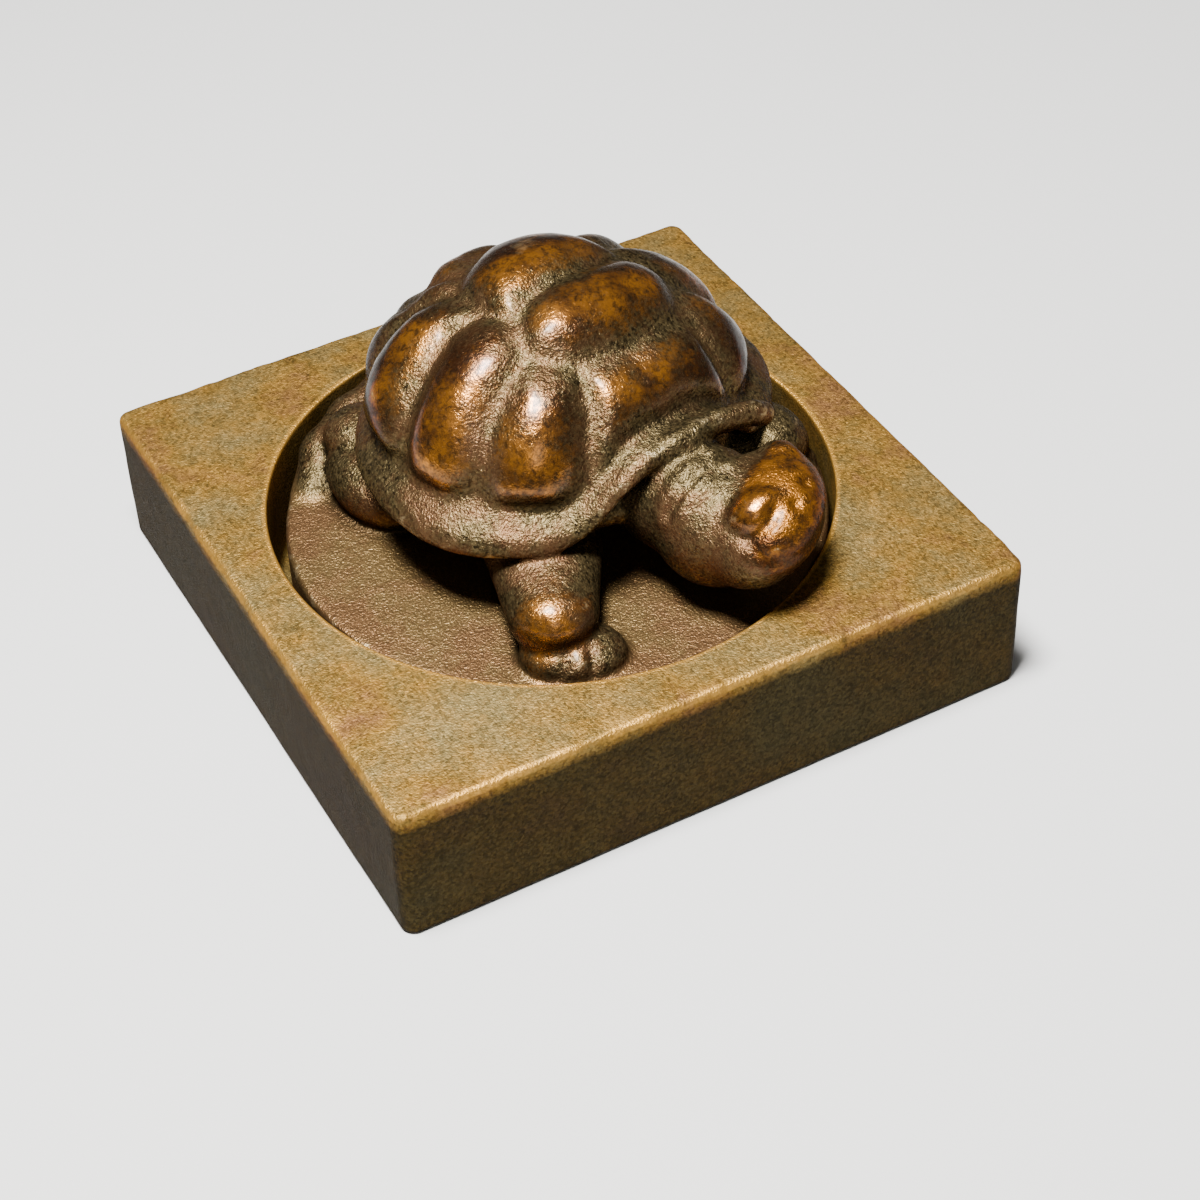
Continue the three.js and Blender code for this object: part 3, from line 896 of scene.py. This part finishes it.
def tortoise_wear_and_painted_light(clay, points, settings):
    """What the patina and the painted light depend on at each point: how much of a crown, how amber,
    how hollow, for painted shade, how sharp an edge, whether it is on the disc, how dull, how near a
    crest, for a painted highlight, and how rusty."""
    azimuth, tilt, radius, reach = around_dome(*points.T)
    up = points[:, 2]
    fullness = lobe_fullness(azimuth, tilt, up, settings.groove_width / MM)
    on_dome = ramp(radius - reach, -2.6, -1.9) * ramp(up - lobe_foot(azimuth), 0.6, 3.0)
    snout = snout_share(points)
    near_eye = ramp(away_from(points, on_face(EYE, -1)), 2.6, 1.2)
    crown = np.maximum.reduce([fullness * on_dome, snout, near_eye])
    amber = unevenness(points, AMBER_LAYER) * crown
    for place, size in AMBER_PLACES:
        amber = np.maximum(amber, np.exp(-((away_from(points, place) / size) ** 2)))
    on_disc = ramp(up, 0.5, 0.1)
    out = away_from(points[:, :2], in_tortoise_frame(DISC_CENTRE))
    return {
        "crown": np.maximum(crown, 0.8 * ramp(away_from(points, KNEE), 7.0, 1.0)),
        # On the snout the amber grows with height: partly the less rubbed jaw, partly painted light on the
        # top
        "amber": np.maximum(amber, 0.75 * snout * ramp(up, 7.0, 13.0)),
        "hollow": clay.solid_share(points, HOLLOW_REACH),
        "edge": 1 - clay.solid_share(points, EDGE_REACH),
        "on_disc": on_disc,
        "dull": snout * (1 - near_eye),
        # Where a pale painted highlight lies, on the lobes' upper crests
        "crest_highlight": on_dome * ramp(fullness, 0.9, 1.0) * ramp(up, 11, 17),
        "rusty": on_disc * (ramp(out, 14, 23) - 0.5),
    }


def close_disc(points, quads, settings):
    """The points and faces of the casting with the disc's side and underside added."""
    ring = open_edge(quads)
    centre = np.array([*in_tortoise_frame(DISC_CENTRE), 0])
    radius, bottom = settings.disc_radius / MM, DISC_BOTTOM / MM - DISC_TOP
    way = (points[ring] - centre) * (1, 1, 0)
    way /= np.linalg.norm(way, axis=1, keepdims=True)
    faces = quads.tolist()
    for inward, up in DISC_RINGS:
        following = list(range(len(points), len(points) + len(ring)))
        points = np.concatenate([points, centre + way * (radius - inward) + (0, 0, bottom + up)])
        faces += quads_between(ring, following)
        ring = following
    return points, [*faces, ring]


def build_tortoise(settings):
    clay = sculpt(settings)
    points, quads = surface(clay)
    points, faces = close_disc(points, quads, settings)
    wear_and_painted_light = tortoise_wear_and_painted_light(clay, points, settings)
    # The smooth places keep less of the sand's unevenness, and the disc's underside keeps none
    rough = (1 - 0.65 * np.maximum(wear_and_painted_light["crown"], wear_and_painted_light["on_disc"])) * ramp(points[:, 2], -1.5, -0.5)
    shift = unevenness(points, CASTING_LAYERS) * rough - CASTING_DROP
    points = points + vertex_normals(points, quads) * shift[:, None]
    x, y = turn(points[:, 0], points[:, 1], -TORTOISE_HEADING)
    world = np.column_stack([TORTOISE_CENTRE[0] + x, TORTOISE_CENTRE[1] + y, DISC_TOP + points[:, 2]])
    made = mesh_object("tortoise_on_disc_casting", world, faces, rubbed_bronze(settings))
    for name, values in wear_and_painted_light.items():
        store(made.data, name, values)
    return made


# Materials


# The brown that both patinas reflect at a slant
EDGE_TINT = hex_colour("6a5a45")


def per_metre(size):
    """The scale of a pattern whose features are about size millimetres apart."""
    return 1 / (size * MM)


def fill_sockets(tree, node, inputs):
    """Gives a node's input sockets values, or links them to other nodes' outputs."""
    for name, value in inputs.items():
        socket = node.inputs[name]
        if isinstance(value, bpy.types.NodeSocket):
            tree.links.new(value, socket)
        elif socket.type == "RGBA":
            socket.default_value = (*value, 1)
        else:
            socket.default_value = value


def add_node(tree, kind, inputs=None, output=0, **settings):
    """Adds a shader node with its settings and links, and gives back one of its outputs."""
    node = tree.nodes.new("ShaderNode" + kind)
    for name, value in settings.items():
        setattr(node, name, value)
    fill_sockets(tree, node, inputs or {})
    return node.outputs[output]


def lay_over(tree, below, above, pattern, low, high, most=1.0):
    """Lays one colour over another: nowhere where the pattern is at low, and most at high. It
    gives back the colour and how much of the upper one is seen."""
    seen = add_node(
        tree, "MapRange", {"Value": pattern, "From Min": low, "From Max": high, "To Max": most}
    )
    return add_node(tree, "MixRGB", {"Fac": seen, "Color1": below, "Color2": above}), seen


def new_material(name):
    material = bpy.data.materials.new(name)
    material.use_nodes = True
    return material, material.node_tree, material.node_tree.nodes["Principled BSDF"]


def worn_bronze(settings):
    """Sand-cast bronze with an old golden-brown patina. The patina stays olive in the grain, turns
    grey-green in patches and is rubbed through to bright metal along the edges. The sides are
    darkened with painted shade."""
    material, tree, shader = new_material("worn_golden_bronze")
    place = add_node(tree, "TexCoord", output="Object")
    rubbed, hole_edge, in_socket, on_side = (
        add_node(tree, "Attribute", output="Fac", attribute_name=name)
        for name in ("rubbed", "hole_edge", "in_socket", "on_side")
    )
    # The sandy grain of the casting, cloudy blotches, wide patches and the sand's finest grit. The
    # grit is nearer 0.1 mm, and is drawn at 0.2 mm so that it shows.
    grain, blotches, patches, grit = (
        add_node(
            tree, "TexNoise",
            {"Vector": place, "Scale": per_metre(size), "Detail": detail, "Roughness": roughness},
        )
        for size, detail, roughness in ((0.36, 4, 0.7), (3.0, 6, 0.7), (11.0, 5, 0.65), (0.2, 2, 0.5))
    )
    # Single specks, each in one shade
    cells = add_node(tree, "TexVoronoi", {"Vector": place, "Scale": per_metre(0.26)}, output="Color")
    specks = add_node(tree, "RGBToBW", {"Color": cells})
    both = add_node(tree, "Math", {0: grain, 1: blotches}, operation="ADD")
    # Painted shade: the sides are darkened up to a ragged line
    side_shade = add_node(tree, "Math", {0: blotches, 1: 0.8, 2: on_side}, operation="MULTIPLY_ADD")
    colour, _ = lay_over(tree, settings.olive, settings.gold, both, 0.66, 1.28)
    colour, _ = lay_over(tree, colour, settings.grey, patches, 0.45, 0.66, 0.65)
    colour, _ = lay_over(tree, colour, settings.rust, patches, 0.46, 0.34, 0.6)
    colour, _ = lay_over(tree, colour, settings.painted_side_shade, side_shade, 0.55, 1.2, 0.9)
    colour = add_node(
        tree, "MixRGB", {"Fac": 0.5, "Color1": colour, "Color2": specks}, blend_type="OVERLAY"
    )
    edges = add_node(tree, "Math", {0: rubbed, 1: hole_edge}, operation="MAXIMUM")
    worn = add_node(tree, "Math", {0: edges, 1: blotches}, operation="MULTIPLY")
    colour, bare = lay_over(tree, colour, settings.bare_metal, worn, 0.2, 0.46, 0.75)
    colour, _ = lay_over(tree, colour, settings.olive, in_socket, 0, 1, 0.5)
    roughness = add_node(tree, "MapRange", {"Value": bare, "To Min": 0.5, "To Max": 0.3})
    height = add_node(tree, "Math", {0: grain, 1: grit}, operation="ADD")
    bump = add_node(tree, "Bump", {"Height": height, "Strength": 0.9, "Distance": 0.085 * MM})
    # A patina is a thin mineral skin, so only part of the light is reflected as from metal, and
    # the skin darkens what is seen at a slant
    looks = {
        "Base Color": colour, "Metallic": 0.8, "Roughness": roughness, "Normal": bump,
        "Specular IOR Level": 0.25, "Specular Tint": EDGE_TINT,
    }
    fill_sockets(tree, shader, looks)
    return material


def rubbed_bronze(settings):
    """Cast bronze with a sandy brown patina. Hands have rubbed the lobes and the snout smooth, to a
    glossy russet with amber where the patina is thinnest. Threads of grime cross it, painted shade
    darkens the deep corners and pits, and a pale painted highlight lies on the lobes' upper crests."""
    material, tree, shader = new_material("rubbed_brown_bronze")
    place = add_node(tree, "TexCoord", output="Object")
    crown, amber, hollow, edge, on_disc, dull, crest_highlight, rusty = (
        add_node(tree, "Attribute", output="Fac", attribute_name=name)
        for name in ("crown", "amber", "hollow", "edge", "on_disc", "dull", "crest_highlight", "rusty")
    )
    # Sandy grain, blotches, clouds, threads of old dirt, shallow dimples and the sand's finest
    # grit, which is nearer 0.1 mm and is drawn at 0.2 mm so that it shows
    patterns = (
        (0.3, 3, 0.6, 0), (2.2, 6, 0.7, 0), (7.0, 5, 0.7, 0),
        (0.7, 6, 0.75, 0.6), (0.9, 2, 0.5, 0), (0.2, 2, 0.5, 0),
    )
    grain, blotches, clouds, threads, dimples, grit = (
        add_node(
            tree, "TexNoise",
            {
                "Vector": place, "Scale": per_metre(size), "Detail": detail,
                "Roughness": roughness, "Distortion": distortion,
            },
        )
        for size, detail, roughness, distortion in patterns
    )
    specks = add_node(tree, "TexVoronoi", {"Vector": place, "Scale": per_metre(0.24)}, output="Color")
    # Sandy patina, warmer on the disc and reddish in clouds
    speckled = add_node(tree, "MixRGB", {"Fac": 0.5, "Color1": grain, "Color2": specks})
    reddish = add_node(tree, "Math", {0: rusty, 1: 0.2, 2: clouds}, operation="MULTIPLY_ADD")
    sandy, _ = lay_over(tree, settings.dark_grain, settings.pale_grain, speckled, 0.28, 0.75)
    sandy, _ = lay_over(tree, sandy, settings.disc_patina, on_disc, 0, 1, 0.55)
    sandy, _ = lay_over(tree, sandy, settings.rust, reddish, 0.44, 0.62, 0.6)
    # Smooth patina with ragged amber spots, broken up by the threads of dirt. On the lobes' upper
    # crests a pale bronze colour is laid on as a painted highlight.
    ragged = add_node(tree, "Math", {0: blotches, 1: 2.6, 2: amber}, operation="MULTIPLY_ADD")
    painted_crest_highlight = add_node(tree, "Math", {0: crest_highlight, 1: blotches}, operation="MULTIPLY")
    smooth, _ = lay_over(tree, settings.russet, settings.amber, ragged, 1.5, 2.3)
    smooth, _ = lay_over(tree, smooth, settings.grime_and_shade, threads, 0.53, 0.38, 0.75)
    smooth, _ = lay_over(tree, smooth, settings.bare_metal, painted_crest_highlight, 0.4, 0.7, 0.5)
    # The smooth patina ends in a ragged line
    uneven = add_node(tree, "Math", {0: grain, 1: blotches}, operation="ADD")
    patchy = add_node(tree, "Math", {0: uneven, 1: 1.2, 2: crown}, operation="MULTIPLY_ADD")
    worn = add_node(tree, "Math", {0: edge, 1: blotches}, operation="MULTIPLY")
    colour, polish = lay_over(tree, sandy, smooth, patchy, 1.42, 2.15)
    # Painted shade: the deep hollows, corners and pits are darkened towards the grime colour
    colour, _ = lay_over(tree, colour, settings.grime_and_shade, hollow, 0.56, 0.74, 0.85)
    colour, _ = lay_over(tree, colour, settings.bare_metal, worn, 0.35, 0.45, 0.6)
    # The snout has the colour of the rubbed places, but less of their gloss
    sheen = add_node(tree, "MapRange", {"Value": dull, "To Min": 1.0, "To Max": 0.2})
    gloss = add_node(tree, "Math", {0: polish, 1: sheen}, operation="MULTIPLY")
    roughness = add_node(tree, "MapRange", {"Value": gloss, "To Min": 0.38, "To Max": 0.2})
    # Handling leaves a thin film of wax on the smooth places, with its own white gloss
    wax = add_node(tree, "Math", {0: gloss, 1: 0.4}, operation="MULTIPLY")
    # Dimples, flatter on the disc, with the grain on top, which the gloss has smoothed
    flatness = add_node(tree, "MapRange", {"Value": on_disc, "To Min": 0.6, "To Max": 0.2})
    dents = add_node(tree, "Bump", {"Height": dimples, "Strength": flatness, "Distance": 0.12 * MM})
    height = add_node(tree, "Math", {0: grain, 1: grit}, operation="ADD")
    strength = add_node(tree, "MapRange", {"Value": gloss, "To Min": 1.0, "To Max": 0.22})
    bump = add_node(
        tree, "Bump", {"Height": height, "Strength": strength, "Distance": 0.09 * MM, "Normal": dents}
    )
    looks = {
        "Base Color": colour, "Metallic": 0.85, "Roughness": roughness, "Normal": bump,
        "Specular Tint": EDGE_TINT, "Coat Weight": wax, "Coat Roughness": 0.2,
    }
    fill_sockets(tree, shader, looks)
    return material


def pale_floor(settings):
    """A smooth matt sheet."""
    material, tree, shader = new_material("pale_floor")
    fill_sockets(tree, shader, {"Base Color": settings.floor_colour, "Roughness": 0.7})
    return material


# The stage

# Places are in millimetres and angles in degrees. Azimuth 0 looks along +Y.
CAMERA_PLACE = (-79.56, -162.65, 164.05)
CAMERA_AZIMUTH, CAMERA_ELEVATION, CAMERA_ROLL = -27.255, 42.268, -2.329
CAMERA_LENS, SENSOR_WIDTH = 79.545, 36
# The lamps by azimuth, elevation, distance and width
KEY_LAMP = (-60, 77, 350, 90)
FRONT_LAMP = (-22, 36, 500, 120)
LAMP_TARGET_HEIGHT = 12
WORLD_STRENGTH = 0.08
FLOOR_REACH = 3000


def direction(azimuth, elevation):
    """The way to a place that is seen under an azimuth and an elevation."""
    azimuth, elevation = math.radians(azimuth), math.radians(elevation)
    level = math.cos(elevation)
    return Vector((math.sin(azimuth) * level, -math.cos(azimuth) * level, math.sin(elevation)))


def add_camera():
    back = direction(CAMERA_AZIMUTH, CAMERA_ELEVATION)
    right = direction(CAMERA_AZIMUTH + 90, 0)
    level = Matrix((right, back.cross(right), back)).transposed()
    camera = bpy.data.objects.new("camera", bpy.data.cameras.new("camera"))
    camera.matrix_world = (level @ Matrix.Rotation(math.radians(CAMERA_ROLL), 3, "Z")).to_4x4()
    camera.location = Vector(CAMERA_PLACE) * MM
    camera.data.lens = CAMERA_LENS
    camera.data.sensor_width = SENSOR_WIDTH
    camera.data.clip_start = 0.01
    bpy.context.scene.collection.objects.link(camera)
    bpy.context.scene.camera = camera


def add_softbox(name, place, power):
    """A square lamp that looks at the object from its azimuth, elevation and distance."""
    azimuth, elevation, distance, width = place
    data = bpy.data.lights.new(name, "AREA")
    data.shape, data.size, data.energy = "SQUARE", width * MM, power
    lamp = bpy.data.objects.new(name, data)
    way = direction(azimuth, elevation)
    lamp.location = (way * distance + Vector((0, 0, LAMP_TARGET_HEIGHT))) * MM
    lamp.rotation_euler = way.to_track_quat("Z", "Y").to_euler()
    bpy.context.scene.collection.objects.link(lamp)


def add_floor(settings):
    points = [(x * FLOOR_REACH, y * FLOOR_REACH, 0) for x, y in ((-1, -1), (1, -1), (1, 1), (-1, 1))]
    floor = mesh_object("floor", points, [(0, 1, 2, 3)], pale_floor(settings))


class TORTOISE_OT_add_stage(bpy.types.Operator):
    """Adds the camera, the pale floor and the soft studio lamps"""

    bl_idname = "tortoise.add_stage"
    bl_label = "Add stage"

    def execute(self, context):
        settings = context.scene.tortoise_stage
        add_camera()
        add_floor(settings)
        add_softbox("key_lamp", KEY_LAMP, settings.key_power)
        add_softbox("front_lamp", FRONT_LAMP, settings.front_power)
        world = bpy.data.worlds.new("studio")
        world.use_nodes = True
        sky = world.node_tree.nodes["Background"].inputs
        sky["Color"].default_value = (1, 1, 1, 1)
        sky["Strength"].default_value = WORLD_STRENGTH
        context.scene.world = world
        return {"FINISHED"}


class TORTOISE_OT_add_base(bpy.types.Operator):
    """Adds the square base, a bronze casting with a round socket"""

    bl_idname = "tortoise.add_base"
    bl_label = "Add square base"

    def execute(self, context):
        base = build_base(context.scene.tortoise_base)
        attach(base, "root")
        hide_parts("square_base")
        return {"FINISHED"}


class TORTOISE_OT_add_tortoise(bpy.types.Operator):
    """Adds the tortoise and the disc that it stands on, one bronze casting"""

    bl_idname = "tortoise.add_tortoise"
    bl_label = "Add tortoise on its disc"

    def execute(self, context):
        tortoise = build_tortoise(context.scene.tortoise_figure)
        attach(tortoise, "root")
        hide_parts("tortoise_on_disc")
        return {"FINISHED"}


class TORTOISE_PT_panel(bpy.types.Panel):
    """Lists the pieces and their settings"""

    bl_idname = "TORTOISE_PT_panel"
    bl_label = "Bronze tortoise"
    bl_space_type = "VIEW_3D"
    bl_region_type = "UI"
    bl_category = "Tortoise"

    def draw(self, context):
        scene = context.scene
        rows = (
            ("tortoise.add_stage", scene.tortoise_stage),
            ("tortoise.add_base", scene.tortoise_base),
            ("tortoise.add_tortoise", scene.tortoise_figure),
        )
        for operator, settings in rows:
            box = self.layout.box()
            box.operator(operator)
            for name in settings.__annotations__:
                box.prop(settings, name)


SETTINGS = {
    "tortoise_base": BaseSettings,
    "tortoise_figure": TortoiseSettings,
    "tortoise_stage": StageSettings,
}
CLASSES = (
    *SETTINGS.values(),
    TORTOISE_OT_add_stage,
    TORTOISE_OT_add_base,
    TORTOISE_OT_add_tortoise,
    TORTOISE_PT_panel,
)


def register():
    for made in CLASSES:
        bpy.utils.register_class(made)
    for name, group in SETTINGS.items():
        setattr(bpy.types.Scene, name, PointerProperty(type=group))


def unregister():
    for name in SETTINGS:
        delattr(bpy.types.Scene, name)
    for made in reversed(CLASSES):
        bpy.utils.unregister_class(made)


def main():
    register()
    bpy.ops.tortoise.add_stage()
    bpy.ops.tortoise.add_base()
    bpy.ops.tortoise.add_tortoise()


if __name__ == "__main__":
    main()
